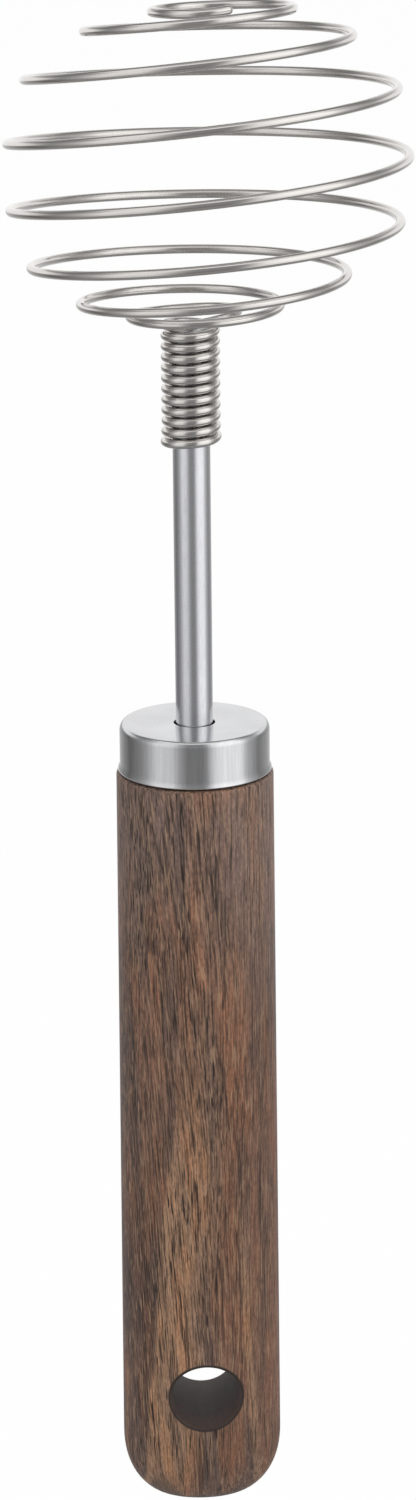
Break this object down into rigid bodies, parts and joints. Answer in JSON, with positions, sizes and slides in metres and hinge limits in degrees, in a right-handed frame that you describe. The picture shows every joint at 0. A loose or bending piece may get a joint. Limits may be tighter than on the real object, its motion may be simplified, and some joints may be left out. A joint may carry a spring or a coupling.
{
  "type": "spiral whisk",
  "caption": "Spiral kitchen whisk: a wooden handle with a hanging hole and a steel cap carries a rod, and a spring wire grips the rod and opens into a round coiled cage.",
  "frame": {"origin": "centre of the small flat at the butt end of the handle", "axes": "+Z along the handle and rod from the butt to the wire head, +Y along the hanging hole from front to back, +X to the right seen from the front"},
  "size_m": [0.0642, 0.064, 0.2529],
  "materials": {
    "wood": "dark brown hardwood, smooth and lightly oiled, with long fine pores",
    "cap_steel": "satin drawn stainless steel",
    "rod_steel": "satin drawn stainless steel bar",
    "wire_steel": "bright drawn stainless spring wire"
  },
  "bodies": {
    "shaft": {"handle": "wood", "cap": "cap_steel", "rod": "rod_steel", "wire_grip_coil": "wire_steel", "wire_cage": "wire_steel"},
    "head": {"wire_crown": "wire_steel"}
  },
  "joints": [
    {"name": "head_press", "type": "slide", "parent": "shaft", "child": "head", "axis": [0, 0, -1], "range_m": [0, 0.02], "stiffness_N_per_m": 60, "deforming": ["wire_cage"]}
  ]
}
